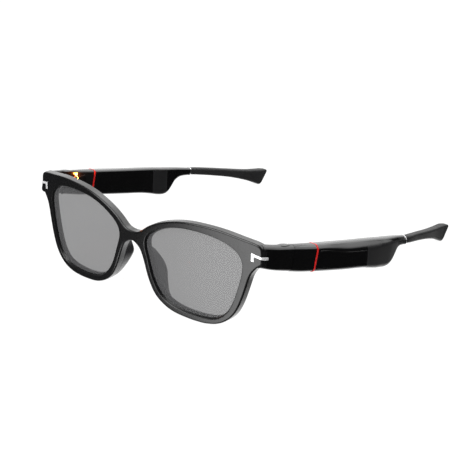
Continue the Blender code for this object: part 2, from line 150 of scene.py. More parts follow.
@dataclass(frozen=True)
class Finish:
    """One finish, and the node material that shows it.

    Attributes are the shader's plain values. Grain gives the bump and how it is stretched,
    smudge how far the roughness wanders, and drift how far the colour does.
    """

    slot: str
    colour: tuple[float, float, float]
    roughness: float
    grain: Grain = Grain.POLISHED
    metallic: float = 0.0
    specular: float = 0.5
    alpha: float = 1.0
    smudge: float = 0.05
    drift: float = 0.12
    glow: float = 0.0
    label: str = ""

    def grain_scale(self) -> tuple[float, float, float]:
        """How closely the grain repeats along X, Y and Z, per metre."""
        return {
            Grain.POLISHED: (900.0, 900.0, 900.0),
            Grain.SPARK: (5200.0, 5200.0, 5200.0),
            Grain.BRUSHED: (9000.0, 500.0, 9000.0),
            Grain.SOFT: (3200.0, 3200.0, 3200.0),
            Grain.BOARD: (1500.0, 1500.0, 1500.0),
        }[self.grain]

    def grain_depth(self) -> float:
        """Bump height of the grain, in metres."""
        return {
            Grain.POLISHED: 6.0e-7,
            Grain.SPARK: 8.0e-6,
            Grain.BRUSHED: 6.0e-6,
            Grain.SOFT: 1.0e-5,
            Grain.BOARD: 1.2e-5,
        }[self.grain]

    def material(self) -> bpy.types.Material:
        """Build the material once, and hand back the same one after that.

        Returns:
            The node material for this finish.
        """
        name = self.label or f"{self.slot}_look"
        found = bpy.data.materials.get(name)
        if found is not None:
            return found
        made = bpy.data.materials.new(name)
        made.use_nodes = True
        bench = NodeBench(made.node_tree)
        shader = made.node_tree.nodes["Principled BSDF"]
        shader.inputs["Metallic"].default_value = self.metallic
        shader.inputs["Specular IOR Level"].default_value = self.specular
        shader.inputs["Alpha"].default_value = self.alpha
        place = bench.add("ShaderNodeTexCoord").outputs["Object"]
        self.add_colour(bench, place, shader)
        self.add_roughness(bench, place, shader)
        self.add_grain(bench, place, shader)
        if self.glow > 0:
            shader.inputs["Emission Color"].default_value = (*self.colour, 1.0)
            shader.inputs["Emission Strength"].default_value = self.glow
        made.diffuse_color = (*self.colour, 1.0)
        return made

    def add_colour(self, bench: NodeBench, place: Socket, shader: Node) -> None:
        """Let the colour wander a little, as moulded and cast stock does.

        Args:
            bench: the material's nodes.
            place: the place on the piece.
            shader: the Principled node.
        """
        clouds = bench.add("ShaderNodeTexNoise", Scale=120.0, Detail=4.0)
        bench.join(place, clouds.inputs["Vector"])
        ramp = bench.add("ShaderNodeValToRGB")
        ends = ((0.3, 1.0 - self.drift), (0.7, 1.0 + self.drift))
        for element, (position, share) in zip(ramp.color_ramp.elements, ends):
            element.position = position
            element.color = (*(min(channel * share, 1.0) for channel in self.colour), 1.0)
        bench.join(clouds.outputs["Fac"], ramp.inputs["Fac"])
        bench.join(ramp.outputs["Color"], shader.inputs["Base Color"])

    def add_roughness(self, bench: NodeBench, place: Socket, shader: Node) -> None:
        """Vary the roughness in patches, as handling does.

        Args:
            bench: the material's nodes.
            place: the place on the piece.
            shader: the Principled node.
        """
        patches = bench.add("ShaderNodeTexNoise", Scale=160.0, Detail=6.0, Roughness=0.62)
        bench.join(place, patches.inputs["Vector"])
        spread = bench.add(
            "ShaderNodeMapRange", From_Min=0.25, From_Max=0.75,
            To_Min=max(self.roughness - self.smudge, 0.02), To_Max=min(self.roughness + self.smudge, 1.0),
        )
        bench.join(patches.outputs["Fac"], spread.inputs["Value"])
        bench.join(spread.outputs["Result"], shader.inputs["Roughness"])

    def add_grain(self, bench: NodeBench, place: Socket, shader: Node) -> None:
        """Add the grain as a bump.

        Args:
            bench: the material's nodes.
            place: the place on the piece.
            shader: the Principled node.
        """
        stretch = bench.add("ShaderNodeMapping", Scale=self.grain_scale())
        bench.join(place, stretch.inputs["Vector"])
        noise = bench.add("ShaderNodeTexNoise", Scale=1.0, Detail=3.0)
        bench.join(stretch.outputs["Vector"], noise.inputs["Vector"])
        bump = bench.add("ShaderNodeBump", Strength=0.6, Distance=self.grain_depth())
        bench.join(noise.outputs["Fac"], bump.inputs["Height"])
        bench.join(bump.outputs["Normal"], shader.inputs["Normal"])


RIM_BLACK = Finish("gloss_black", (0.0045, 0.0045, 0.0048), 0.27, smudge=0.02, label="rim_black")
PIANO_BLACK = Finish("gloss_black", (0.0022, 0.0022, 0.0024), 0.16, smudge=0.03, label="piano_black")
PANEL_BLACK = Finish("gloss_black", (0.0018, 0.0018, 0.0020), 0.10, smudge=0.02, label="panel_black")
SATIN_BLACK = Finish("satin_black", (0.009, 0.009, 0.0095), 0.36, Grain.SPARK, smudge=0.03)
SOFT_BLACK = Finish("soft_black", (0.003, 0.003, 0.0032), 0.3, Grain.SPARK, smudge=0.03)
LENS_TINT = Finish(
    "tinted_lens", (0.088, 0.088, 0.090), 0.13, alpha=0.56, specular=0.15, smudge=0.01, drift=0.01,
)
PAD_BLACK = Finish("pad_plastic", (0.016, 0.016, 0.017), 0.24, smudge=0.04)
SILVER = Finish("silver_trim", (0.86, 0.86, 0.87), 0.26, Grain.BRUSHED, metallic=0.5, drift=0.03)
HINGE_STEEL = Finish("hinge_steel", (0.03, 0.03, 0.031), 0.42, Grain.BRUSHED, metallic=1.0)
# A steel collar at the module's end; its bright metal also stands in for the highlight on the temple's end, a
# painted highlight.
STEEL_COLLAR_HIGHLIGHT = Finish(
    "satin_black", (0.75, 0.75, 0.76), 0.22, Grain.BRUSHED, metallic=1.0, label="collar_steel",
)
SCREW_STEEL = Finish("screw_steel", (0.02, 0.02, 0.021), 0.42, Grain.BRUSHED, metallic=1.0)
GOLD = Finish("contact_gold", (0.80, 0.55, 0.20), 0.24, Grain.BRUSHED, metallic=1.0)
BOARD_GREEN = Finish("board_green", (0.016, 0.11, 0.045), 0.38, Grain.BOARD, drift=0.25)
RED_SILICONE = Finish("red_silicone", (0.60, 0.002, 0.001), 0.30, specular=0.35, smudge=0.04, drift=0.05)
AMBER = Finish("amber_light", (1.0, 0.40, 0.12), 0.25, glow=9.0, drift=0.0)
MESH_STEEL = Finish("steel_mesh", (0.20, 0.20, 0.21), 0.34, Grain.BRUSHED, metallic=1.0)
DARK_PLASTIC = Finish("dark_plastic", (0.022, 0.022, 0.023), 0.48, Grain.SPARK)
CELL_FOIL = Finish("cell_foil", (0.62, 0.63, 0.65), 0.30, Grain.SOFT, metallic=0.85, drift=0.05)
GRIP_RUBBER = Finish("grip_rubber", (0.018, 0.018, 0.0185), 0.5, Grain.SOFT, specular=0.14, smudge=0.05)


# ---- drawing helpers -------------------------------------------------------------------
def smooth_curve(points: Sequence[Vector], steps: int, closed: bool) -> list[Vector]:
    """A Catmull-Rom curve through the points.

    Args:
        points: the points that the curve passes through.
        steps: how many points each stretch between two of them gets.
        closed: True for a loop.

    Returns:
        The curve's points, without the first one again at the end of a loop.
    """
    count = len(points)
    drawn: list[Vector] = []
    for index in range(count if closed else count - 1):
        near = []
        for offset in (-1, 0, 1, 2):
            place = index + offset
            near.append(points[place % count] if closed else points[min(max(place, 0), count - 1)])
        before, start, end, after = near
        for step in range(steps):
            t = step / steps
            drawn.append(
                0.5 * (2 * start + (end - before) * t
                       + (2 * before - 5 * start + 4 * end - after) * t * t
                       + (3 * start - before - 3 * end + after) * t ** 3)
            )
    if not closed:
        drawn.append(points[-1].copy())
    return drawn


def relaxed_loop(points: Sequence[Vector], passes: int) -> list[Vector]:
    """A loop made smoother.

    Args:
        points: the loop.
        passes: how many times each point is drawn half way to the middle of its neighbours.

    Returns:
        The new loop, point for point.
    """
    loop = list(points)
    for _ in range(passes):
        loop = [(loop[i - 1] + 2 * loop[i] + loop[(i + 1) % len(loop)]) / 4 for i in range(len(loop))]
    return loop


def grown_loop(points: Sequence[Vector], distance: float) -> list[Vector]:
    """The flat loop moved outwards.

    Args:
        points: a closed loop of 2-D points.
        distance: how far outwards, or inwards if negative.

    Returns:
        The moved loop, point for point.
    """
    count = len(points)
    area = sum(points[i].cross(points[(i + 1) % count]) for i in range(count))
    sign = 1 if area > 0 else -1
    grown = []
    for index, point in enumerate(points):
        along = (points[(index + 1) % count] - points[index - 1]).normalized()
        grown.append(point + Vector((along.y, -along.x)) * sign * distance)
    return grown


def rounded_polygon(corners: Sequence[tuple[float, float, float]], steps: int) -> list[Vector]:
    """A polygon with each corner turned on a curve.

    Args:
        corners: x, z and radius of each corner, in order.
        steps: how many stretches each corner's curve gets.

    Returns:
        The outline's points.
    """
    outline: list[Vector] = []
    count = len(corners)
    for index, (x, z, radius) in enumerate(corners):
        corner = Vector((x, z))
        before = Vector(corners[index - 1][:2]) - corner
        after = Vector(corners[(index + 1) % count][:2]) - corner
        reach = min(radius, 0.46 * before.length, 0.46 * after.length)
        start = corner + before.normalized() * reach
        end = corner + after.normalized() * reach
        for step in range(steps + 1):
            t = step / steps
            outline.append((1 - t) ** 2 * start + 2 * t * (1 - t) * corner + t * t * end)
    return outline


def smooth_sections(sections: Sequence[Section], steps: int) -> list[Section]:
    """The sections with more of them between, on one smooth run.

    Args:
        sections: the given sections, in order along the temple.
        steps: how many each stretch is divided into.

    Returns:
        All the sections.
    """
    dense: list[Section] = []
    count = len(sections)
    for index in range(count - 1):
        before, start = sections[max(index - 1, 0)], sections[index]
        end, after = sections[index + 1], sections[min(index + 2, count - 1)]
        for step in range(steps):
            t = step / steps
            width = end[0] - start[0]
            row = [start[0] + t * width]
            for part in range(1, 5):
                enter = (end[part] - before[part]) / max(end[0] - before[0], 1e-6) * width
                leave = (after[part] - start[part]) / max(after[0] - start[0], 1e-6) * width
                row.append(
                    (2 * t ** 3 - 3 * t ** 2 + 1) * start[part] + (t ** 3 - 2 * t ** 2 + t) * enter
                    + (3 * t ** 2 - 2 * t ** 3) * end[part] + (t ** 3 - t ** 2) * leave
                )
            dense.append(tuple(row))
    dense.append(tuple(sections[-1]))
    return dense


def section_at(sections: Sequence[Section], along: float) -> tuple[float, float, float, float]:
    """Inner, outer, bottom and top at a place along the sections.

    Args:
        sections: sections in order.
        along: the place.

    Returns:
        The four sides, by a straight rule between the two nearest sections.
    """
    for low, high in zip(sections, sections[1:]):
        if low[0] <= along <= high[0]:
            part = (along - low[0]) / (high[0] - low[0])
            return tuple(a + (b - a) * part for a, b in zip(low[1:], high[1:]))
    return tuple(sections[-1][1:])


def smooth_step(value: float) -> float:
    """A value from 0 to 1 eased at both ends."""
    value = min(max(value, 0.0), 1.0)
    return value * value * (3 - 2 * value)


class LoopSweep:
    """A loop of edges that is extruded step by step into a wall."""

    def __init__(self, shape: Shape, points: Iterable[Vector]) -> None:
        """Start the loop.

        Args:
            shape: the bmesh to draw in.
            points: the first loop's places.
        """
        self.shape = shape
        self.verts = [shape.verts.new(point) for point in points]
        self.edges = [shape.edges.new(pair) for pair in zip(self.verts, self.verts[1:] + self.verts[:1])]
        self.first_edges = list(self.edges)

    def step(self, points: Iterable[Vector]) -> None:
        """Extrude the loop and move the new one.

        Args:
            points: where the new loop's points go.
        """
        made = bmesh.ops.extrude_edge_only(self.shape, edges=self.edges)["geom"]
        fresh = {item for item in made if isinstance(item, bmesh.types.BMVert)}
        self.verts = [
            next(edge.other_vert(vert) for edge in vert.link_edges if edge.other_vert(vert) in fresh)
            for vert in self.verts
        ]
        for vert, point in zip(self.verts, points):
            vert.co = point
        ends = set(self.verts)
        self.edges = [
            item for item in made if isinstance(item, bmesh.types.BMEdge) and ends.issuperset(item.verts)
        ]

    def cap(self, edges: Sequence[bmesh.types.BMEdge]) -> None:
        """Close an end with one flat face."""
        bmesh.ops.contextual_create(self.shape, geom=list(edges))


def loft(rings: Sequence[Sequence[Vector]]) -> Shape:
    """A closed body through rings with the same number of points.

    Args:
        rings: the rings, in order.

    Returns:
        The body as a bmesh.
    """
    shape = bmesh.new()
    sweep = LoopSweep(shape, rings[0])
    for ring in rings[1:]:
        sweep.step(ring)
    sweep.cap(sweep.first_edges)
    sweep.cap(sweep.edges)
    return shape


def box_shape(low: Point3, high: Point3, rounding: float = 0.0, segments: int = 3) -> Shape:
    """A box between two corners with its edges rounded.

    Args:
        low: the lowest corner.
        high: the highest corner.
        rounding: radius of the edges, or 0 for sharp ones.
        segments: how many facets each rounded edge gets.

    Returns:
        The box as a bmesh.
    """
    shape = bmesh.new()
    low_corner, high_corner = Vector(low), Vector(high)
    size = high_corner - low_corner
    matrix = Matrix.Translation((low_corner + high_corner) / 2) @ Matrix.Diagonal((*size, 1.0))
    bmesh.ops.create_cube(shape, size=1.0, matrix=matrix)
    if rounding > 0:
        round_edges(shape, rounding, segments)
    return shape


def round_edges(shape: Shape, radius: float, segments: int) -> None:
    """Bevel every edge that turns by more than 50 degrees.

    Args:
        shape: the body, closed.
        radius: how far the bevel reaches.
        segments: how many facets it has.
    """
    bmesh.ops.recalc_face_normals(shape, faces=shape.faces)
    limit = math.radians(50.0)
    sharp = [edge for edge in shape.edges if len(edge.link_faces) == 2 and edge.calc_face_angle() > limit]
    bmesh.ops.bevel(
        shape, geom=sharp, offset=radius, affect="EDGES", segments=segments, profile=0.5,
        material=-1, clamp_overlap=True,
    )


def raise_faces(shape: Shape, faces: Sequence[bmesh.types.BMFace], height: float) -> None:
    """Extrude flat faces along Z.

    Args:
        shape: the bmesh that holds them.
        faces: the faces.
        height: how far they are raised.
    """
    raised = bmesh.ops.extrude_face_region(shape, geom=list(faces))["geom"]
    tops = [item for item in raised if isinstance(item, bmesh.types.BMVert)]
    bmesh.ops.translate(shape, vec=Vector((0, 0, height)), verts=tops)


def slice_across(shape: Shape, places: Iterable[float]) -> None:
    """Cut new edges across a shape, so that it can bend there.

    Args:
        shape: the shape.
        places: where along X.
    """
    for place in places:
        geometry = shape.verts[:] + shape.edges[:] + shape.faces[:]
        bmesh.ops.bisect_plane(
            shape, geom=geometry, dist=1e-4, plane_co=(place, 0, 0), plane_no=(1, 0, 0),
        )


def upright(outline: Iterable[Vector], along: float) -> list[Vector]:
    """A flat outline stood across an arm at a place along it."""
    return [Vector((point.x, along, point.y)) for point in outline]


def mirrored_for(side: Side, shape: Shape) -> Shape:
    """A shape as one side has it.

    Args:
        side: the wearer's side.
        shape: the shape as drawn for the left side.

    Returns:
        The same shape, turned over for the right.
    """
    if side is Side.RIGHT:
        bmesh.ops.scale(shape, vec=Vector((-1, 1, 1)), verts=shape.verts)
    return shape


@dataclass
class Workshop:
    """Turns shapes into pieces of the object, and keeps where the frame puts them."""

    front_y: float
    pins: dict[Side, Vector]
    slope: float

    @classmethod
    def from_frame(cls, frame: dict) -> Workshop:
        """Read the front's place, the hinge pins and the slope from the frame.


        Returns:
            The workshop.
        """
        joints = {joint["name"]: joint for joint in frame["joints"]}
        pins = {side: Vector(joints[f"{side.word}_fold"]["pos_m"]) / MM for side in Side}
        along = joints["left_release"]["axis"]
        return cls(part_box("front_frame")[0].y / MM, pins, math.atan2(-along[2], along[1]))

    def temple_matrix(self, side: Side) -> Matrix:
        """From a temple's drawing frame to the object's frame, in millimetres."""
        return Matrix.Translation(self.pins[side]) @ Matrix.Rotation(-self.slope, 4, "X")

    def front_matrix(self) -> Matrix:
        """From the front's drawing frame to the object's frame, in millimetres."""
        return Matrix.Translation(Vector((0, self.front_y, 0)))

    def make_object(self, name: str, shape: Shape, matrix: Matrix) -> Piece:
        """Move a shape to its place and turn it into an object at the origin.

        Args:
            name: the object's name.
            shape: the body, in millimetres, in a drawing frame.
            matrix: from the drawing frame to the object's frame.

        Returns:
            The object.
        """
        bmesh.ops.transform(shape, matrix=matrix, verts=shape.verts)
        bmesh.ops.scale(shape, vec=Vector((MM, MM, MM)), verts=shape.verts)
        bmesh.ops.recalc_face_normals(shape, faces=shape.faces)
        mesh = bpy.data.meshes.new(name)
        shape.to_mesh(mesh)
        shape.free()
        item = bpy.data.objects.new(name, mesh)
        bpy.context.scene.collection.objects.link(item)
        return item

    def combine(self, target: Piece, tools: Sequence[tuple[Shape, Join]], matrix: Matrix) -> None:
        """Cut shapes out of an object or join them to it.

        Args:
            target: the object.
            tools: each shape, and what is done with it.
            matrix: from the shapes' drawing frame to the object's frame.
        """
        for shape, join in tools:
            tool = self.make_object("tool", shape, matrix)
            modifier = target.modifiers.new("cut", "BOOLEAN")
            modifier.operation = join.value
            modifier.solver = "EXACT"
            modifier.object = tool
            bpy.context.view_layer.update()
            evaluated = target.evaluated_get(bpy.context.evaluated_depsgraph_get())
            mesh = bpy.data.meshes.new_from_object(evaluated)
            target.modifiers.clear()
            target.data = mesh
            bpy.data.objects.remove(tool, do_unlink=True)

    def finish(
        self, item: Piece, body: str, finishes: Sequence[Finish], replaces: Sequence[str],
        sharp: float = 32.0,
    ) -> Piece:
        """Dress a piece, shade it and put it on its body.

        Args:
            item: the piece.
            body: the body that it moves with.
            finishes: its finishes, by material slot.
            replaces: the CAD nodes that it stands for.
            sharp: edges sharper than this, in degrees, stay crisp.

        Returns:
            The piece.
        """
        if len(item.data.materials) == 0:
            for finish in finishes:
                item.data.materials.append(finish.material())
        item.data.shade_smooth()
        item.data.set_sharp_from_angle(angle=math.radians(sharp))
        normals = item.modifiers.new("normals", "WEIGHTED_NORMAL")
        normals.keep_sharp = True
        normals.weight = 60
        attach(item, body)
        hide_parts(*replaces)
        LOG.info("%s: %d faces on %s", item.name, len(item.data.polygons), body)
        return item


# ---- the front -------------------------------------------------------------------------
@dataclass
class Front:
    """The full rim front with its end pieces, the lenses, the nose pads and the corner trims."""

    shop: Workshop
    wrap_rate: float = 0.00177
    depth: float = 4.4
    outline: tuple[Point2, ...] = (
        (0, 35.7), (4.5, 36.5), (9, 40.0), (15.2, 43.6), (23.7, 46.7), (32.6, 48.5), (42.1, 49.0),
        (52.2, 48.7), (62.9, 47.2), (69.5, 46.2), (72.1, 45.1), (73.1, 43.2), (73.3, 37.6),
        (72.9, 36.1), (70.8, 34.5), (67.6, 30.2), (65.5, 23.0), (62.6, 13.9), (58.7, 6.9),
        (52.5, 2.1), (45.5, 0.25), (40.3, 0.0), (34.8, 0.2), (24.5, 1.6), (15.8, 6.4), (10.9, 13.8),
        (7.7, 22.5), (5.4, 27.5), (2.6, 29.9), (0, 30.8),
    )
    opening: tuple[Point2, ...] = (
        (8.4, 31.4), (10.2, 36.4), (15.7, 40.4), (24.3, 43.9), (35.0, 45.4), (48.1, 44.8),
        (58.2, 41.8), (63.3, 36.2), (62.9, 27.5), (59.1, 14.1), (54.9, 7.1), (48.8, 3.6),
        (38.7, 2.8), (27.5, 3.9), (19.2, 7.6), (13.7, 14.9), (10.4, 24.3),
    )
    front_round: float = 0.9
    back_round: float = 0.5
    lens_front: float = 1.3
    lens_thickness: float = 2.0
    lens_chamfer: float = 0.25
    lens_play: float = 0.04
    lens_edge: float = 0.85
    opening_edge: float = 0.4
    opening_back: float = 0.35
    rear_lip: float = 0.8
    groove: float = 0.95
    groove_front: float = 0.5
    groove_back: float = 0.55
    strip: float = 2.5
    arm: tuple[Section, ...] = (
        (-20.0, -0.2, 3.9, -4.5, 6.4), (-12.0, 2.0, 5.4, -5.6, 6.2), (-0.15, 2.1, 6.4, -6.7, 6.0),
    )
    arm_facet: Point2 = (1.7, 1.5)
    arm_rounds: Point3 = (1.5, 0.9, 2.1)
    polish_from: float = 12.2
    boss_size: Point3 = (1.9, 4.4, 0.55)
    boss_place: Point3 = (3.3, -5.6, 5.75)
    pad_levels: tuple[tuple[float, ...], ...] = (
        (3.4, 20.6, 24.2, 21.2, 24.0, 6.4), (7.0, 15.4, 18.6, 15.8, 19.0, 7.8),
        (12.0, 12.0, 15.2, 12.0, 16.4, 9.2), (17.0, 9.8, 13.0, 8.8, 15.4, 9.8),
        (21.0, 8.2, 11.6, 6.9, 13.4, 9.8), (25.0, 6.8, 10.0, 6.5, 10.9, 8.4),
        (28.5, 5.6, 8.8, 6.0, 8.6, 6.4),
    )
    pad_sink: float = 0.25
    pad_rounds: Point3 = (0.3, 1.3, 1.6)
    pad_ends: Point3 = (0.55, 0.82, 0.95)
    trim_path: tuple[Point2, ...] = ((67.9, 8.3), (71.0, 9.05), (72.9, 9.6), (73.75, 10.9), (74.1, 13.0))
    trim_width: float = 1.3
    trim_leg: Point2 = (1.4, 3.9)
    trim_sink: float = 0.7
    trim_thickness: float = 0.92
    trim_round: float = 0.12
    trim_bends: int = 24
    trim_top: float = 41.45
    trim_fall: float = 1.8
    trim_gap: float = 0.06

    def wrapped(self, x: float, behind: float, height: float) -> Vector:
        """A place on the bent front: x across, a depth behind the face, and a height."""
        return Vector((x, self.wrap_rate * x * x + behind, height))

    def outline_loop(self) -> list[Vector]:
        """The whole outline as one smooth loop.

        Returns:
            The loop's points.
        """
        half = [Vector(point) for point in self.outline]
        other = [Vector((-point.x, point.y)) for point in reversed(half[1:-1])]
        return relaxed_loop(smooth_curve(half + other, 8, True), 6)

    def opening_loop(self, side: Side) -> list[Vector]:
        """One lens opening as a smooth loop."""
        points = [Vector((side.value * x, y)) for x, y in self.opening]
        return relaxed_loop(smooth_curve(points, 10, True), 6)

    def outer_profile(self) -> list[Point2]:
        """The rim's outside from face to back.

        Returns:
            Distance outwards and depth of each step.
        """
        front, back = self.front_round, self.back_round
        turns = [math.radians(angle) for angle in (0, 18, 36, 54, 72, 90)]
        face = [(-front + front * math.sin(turn), front - front * math.cos(turn)) for turn in turns]
        deep = self.depth - back
        rear = [(-back + back * math.cos(turn), deep + back * math.sin(turn)) for turn in turns]
        return face + rear

    def inner_profile(self) -> list[Point2]:
        """The opening's wall from face to back, with the groove that holds the lens.

        Returns:
            Distance outwards and depth of each step.
        """
        edge, back, lip = self.opening_edge, self.opening_back, self.rear_lip
        turns = [math.radians(angle) for angle in (0, 30, 60, 90)]
        face = [(edge - edge * math.sin(turn), edge - edge * math.cos(turn)) for turn in turns]
        start = self.lens_front - self.lens_play
        end = self.lens_front + self.lens_thickness + self.lens_play
        groove = [
            (-self.groove_front, start), (self.groove, start), (self.groove, end), (-self.groove_back, end),
        ]
        rear = [
            (-lip + back - back * math.cos(turn), self.depth - back + back * math.sin(turn)) for turn in turns
        ]
        return face + groove + rear

    def swept_wall(self, shape: Shape, loop: Sequence[Vector], profile: Sequence[Point2]) -> LoopSweep:
        """A wall along a loop, with the profile's places as its steps.

        Args:
            shape: the bmesh to draw in; X and Y lie in the face and Z is the depth.
            loop: the loop.
            profile: distance outwards and depth of each step.

        Returns:
            The sweep, whose first and last loops bound the front and back faces.
        """
        rings = [[Vector((*point, deep)) for point in grown_loop(loop, away)] for away, deep in profile]
        sweep = LoopSweep(shape, rings[0])
        for ring in rings[1:]:
            sweep.step(ring)
        return sweep

    def bend(self, shape: Shape) -> Shape:
        """Cut a flat shape into strips and bend it round the wearer's face.

        Args:
            shape: the shape, with X and Y in the face and Z the depth.

        Returns:
            The same shape in the front's drawing frame.
        """
        reach = int(max(x for x, _ in self.outline) / self.strip) + 1
        slice_across(shape, (line * self.strip for line in range(-reach, reach + 1)))
        for vert in shape.verts:
            vert.co = self.wrapped(vert.co.x, vert.co.z, vert.co.y)
        return shape

    def rim_shape(self) -> Shape:
        """The rims and bridge as one body, bent to the wearer's face.

        Returns:
            The body, in the front's drawing frame.
        """
        shape = bmesh.new()
        walls = [self.swept_wall(shape, self.outline_loop(), self.outer_profile())]
        walls += [self.swept_wall(shape, self.opening_loop(side), self.inner_profile()) for side in Side]
        for ends in ([wall.first_edges for wall in walls], [wall.edges for wall in walls]):
            edges = [edge for loop in ends for edge in loop]
            bmesh.ops.triangle_fill(shape, use_beauty=True, use_dissolve=False, edges=edges)
        return self.bend(shape)

    def arm_shape(self, side: Side) -> Shape:
        """The end piece that runs back from a corner to the hinge.

        Args:
            side: the wearer's side.

        Returns:
            The body, in the temple's drawing frame.
        """
        down, across = self.arm_facet
        facet_round, inner_round, low_round = self.arm_rounds
        rings = []
        for along, inner, outer, bottom, top in smooth_sections(self.arm, 8):
            corners = [
                (outer, top - down, facet_round), (outer - across, top, facet_round),
                (inner, top, inner_round), (inner, bottom, inner_round), (outer, bottom, low_round),
            ]
            rings.append(upright(rounded_polygon(corners, 5), along))
        return mirrored_for(side, loft(rings))

    def boss_shape(self, side: Side) -> Shape:
        """The low hump over the hinge on top of an end piece.

        Args:
            side: the wearer's side.

        Returns:
            The body, in the temple's drawing frame.
        """
        shape = bmesh.new()
        bmesh.ops.create_uvsphere(shape, u_segments=24, v_segments=12, radius=1.0)
        bmesh.ops.scale(shape, vec=Vector(self.boss_size), verts=shape.verts)
        bmesh.ops.translate(shape, vec=Vector(self.boss_place), verts=shape.verts)
        return mirrored_for(side, shape)

    def trim_shape(self, side: Side, grow: float) -> Shape:
        """The corner trim: a flat hooked bar bent round the corner.

        Args:
            side: the wearer's side.
            grow: how much larger than the trim, for its recess.

        Returns:
            The body, in the front's drawing frame.
        """
        path = smooth_curve([Vector(point) for point in self.trim_path], 8, False)
        reach = [0.0]
        for start, end in zip(path, path[1:]):
            reach.append(reach[-1] + (end - start).length)
        length, width = reach[-1], self.trim_width
        leg, leg_drop = self.trim_leg
        outline = [
            (-grow, grow), (length + grow, grow), (length + grow, -width - grow),
            (leg + grow, -width - grow), (leg + grow, -leg_drop - grow), (-grow, -leg_drop - grow),
        ]
        shape = bmesh.new()
        face = shape.faces.new([shape.verts.new((x, z, -self.trim_sink - grow)) for x, z in outline])
        raise_faces(shape, [face], self.trim_thickness + 2 * grow)
        if grow == 0:
            round_edges(shape, self.trim_round, 3)
        slice_across(shape, (length * step / self.trim_bends for step in range(1, self.trim_bends)))
        for vert in shape.verts:
            along = min(max(vert.co.x, 0.0), length - 1e-5)
            spot = next(i for i in range(len(reach) - 1) if along <= reach[i + 1])
            ahead = (path[spot + 1] - path[spot]).normalized()
            ground = path[spot] + ahead * (vert.co.x - reach[spot])
            out = Vector((ahead.y, -ahead.x))
            fall = self.trim_fall * vert.co.x / length
            vert.co = Vector((*(ground + out * vert.co.z), self.trim_top - fall + vert.co.y))
        return mirrored_for(side, shape)

    def lens_shape(self, side: Side) -> Shape:
        """A lens: an edged disc of even thickness, bent with the front.

        Args:
            side: the wearer's side.

        Returns:
            The body, in the front's drawing frame.
        """
        shape = bmesh.new()
        rim, thick, chamfer = self.lens_edge, self.lens_thickness, self.lens_chamfer
        profile = [
            (rim - chamfer, 0.0), (rim, chamfer), (rim, thick - chamfer), (rim - chamfer, thick),
        ]
        profile = [(away, self.lens_front + deep) for away, deep in profile]
        wall = self.swept_wall(shape, self.opening_loop(side), profile)
        wall.cap(wall.first_edges)
        wall.cap(wall.edges)
        return self.bend(shape)

    def pad_shape(self, side: Side) -> Shape:
        """A nose pad moulded to the back of the rim, from under the bridge down the rim's inner side.

        Args:
            side: the wearer's side.

        Returns:
            The body, in the front's drawing frame.
        """
        front_round, outer_round, inner_round = self.pad_rounds
        levels = smooth_curve([Vector(level) for level in self.pad_levels], 6, False)
        rings = []
        for index, (z, front_in, front_out, back_in, back_out, back) in enumerate(levels):
            front = self.depth - self.pad_sink + self.wrap_rate * front_out ** 2
            corners = [
                (front_in, front, front_round), (front_out, front, front_round),
                (back_out, back, outer_round), (back_in, back, inner_round),
            ]
            ring = rounded_polygon(corners, 6)
            middle = sum(ring, Vector((0, 0))) / len(ring)
            from_end = min(index, len(levels) - 1 - index)
            share = self.pad_ends[from_end] if from_end < len(self.pad_ends) else 1.0
            ring = [middle + (point - middle) * share for point in ring]
            rings.append([Vector((point.x, point.y, z)) for point in ring])
        return mirrored_for(side, loft(rings))

    def polish_sides(self, rim: Piece) -> None:
        """Give the flat sides of the end pieces the temples' deeper polish.

        Args:
            rim: the rims with their end pieces.
        """
        for finish in (RIM_BLACK, PIANO_BLACK):
            rim.data.materials.append(finish.material())
        start = (self.shop.front_y + self.polish_from) * MM
        for face in rim.data.polygons:
            face.material_index = int(face.center.y > start and abs(face.normal.x) > 0.6)

    def build(self) -> None:
        """Make and dress every piece of the front."""
        place = self.shop.front_matrix()
        rim = self.shop.make_object("front_rim", self.rim_shape(), place)
        for side in Side:
            added = [(self.arm_shape(side), Join.ADD), (self.boss_shape(side), Join.ADD)]
            self.shop.combine(rim, added, self.shop.temple_matrix(side))
            self.shop.combine(rim, [(self.trim_shape(side, self.trim_gap), Join.TAKE)], place)
        self.polish_sides(rim)
        self.shop.finish(rim, "front", [RIM_BLACK, PIANO_BLACK], ["front_frame"])
        for side in Side:
            for name, shape, finish, node in (
                ("lens_blank", self.lens_shape(side), LENS_TINT, "lens"),
                ("bridge_pad", self.pad_shape(side), PAD_BLACK, "nose_pad"),
                ("silver_hook", self.trim_shape(side, 0.0), SILVER, "corner_trim"),
            ):
                item = self.shop.make_object(f"{side.word}_{name}", shape, place)
                self.shop.finish(item, "front", [finish], [f"{side.word}_{node}"])


